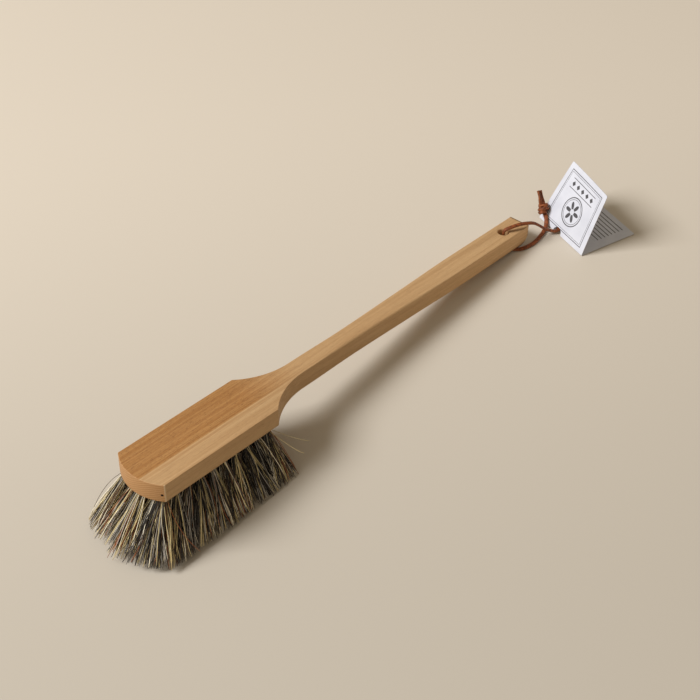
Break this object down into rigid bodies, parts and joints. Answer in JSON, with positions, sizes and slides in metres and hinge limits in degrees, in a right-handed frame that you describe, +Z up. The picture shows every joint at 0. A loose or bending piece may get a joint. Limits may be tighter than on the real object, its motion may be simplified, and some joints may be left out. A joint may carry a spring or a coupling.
{
  "type": "boot brush",
  "caption": "Long-handled wooden boot brush with stiff natural fibre bristles, a leather hanging thong through the handle and a folded card tag, for scrubbing mud off boots.",
  "frame": {"origin": "on the table, under the middle of the wood and bristles, thong and tag left out", "axes": "+X from the bristled head to the handle end, +Y to the left of the handle, +Z up from the table it rests on"},
  "size_m": [0.5694, 0.1278, 0.0663],
  "materials": {
    "beech": "sanded, unvarnished beech",
    "fibre": "stiff mixed natural fibre in black, grey, straw and rust tones",
    "wire": "plain drawn wire",
    "thong": "square-cut vegetable-tanned lace, matt",
    "tag_card": "uncoated white card"
  },
  "bodies": {
    "brush": {"brush_body": "beech", "bristles_front": "fibre", "bristles_mid_front": "fibre", "bristles_mid_rear": "fibre", "bristles_rear": "fibre", "tuft_anchor_01": "wire", "tuft_anchor_02": "wire", "tuft_anchor_03": "wire", "tuft_anchor_04": "wire", "tuft_anchor_05": "wire", "tuft_anchor_06": "wire", "tuft_anchor_07": "wire", "tuft_anchor_08": "wire", "tuft_anchor_09": "wire", "tuft_anchor_10": "wire", "tuft_anchor_11": "wire", "tuft_anchor_12": "wire", "tuft_anchor_13": "wire", "tuft_anchor_14": "wire", "tuft_anchor_15": "wire", "tuft_anchor_16": "wire", "tuft_anchor_17": "wire", "tuft_anchor_18": "wire", "tuft_anchor_19": "wire", "tuft_anchor_20": "wire", "tuft_anchor_21": "wire", "tuft_anchor_22": "wire", "tuft_anchor_23": "wire", "tuft_anchor_24": "wire", "tuft_anchor_25": "wire", "tuft_anchor_26": "wire", "tuft_anchor_27": "wire", "tuft_anchor_28": "wire", "tuft_anchor_29": "wire", "tuft_anchor_30": "wire", "tuft_anchor_31": "wire", "tuft_anchor_32": "wire", "tuft_anchor_33": "wire", "tuft_anchor_34": "wire", "tuft_anchor_35": "wire", "tuft_anchor_36": "wire", "tuft_anchor_37": "wire", "tuft_anchor_38": "wire", "tuft_anchor_39": "wire", "tuft_anchor_40": "wire", "tuft_anchor_41": "wire", "tuft_anchor_42": "wire", "tuft_anchor_43": "wire", "tuft_anchor_44": "wire", "tuft_anchor_45": "wire", "tuft_anchor_46": "wire", "tuft_anchor_47": "wire", "tuft_anchor_48": "wire", "thong_upper_strand": "thong", "thong_lower_strand": "thong", "thong_knot": "thong", "tag_back_leaf": "tag_card"},
    "tag_leaf": {"tag_front_leaf": "tag_card"}
  },
  "joints": [
    {"name": "tag_fold", "type": "hinge", "parent": "brush", "child": "tag_leaf", "pos_m": [0.25272, -0.06001, 0.00055], "axis": [-0.3289, -0.9444, 0], "range_deg": [-12, 0]}
  ]
}
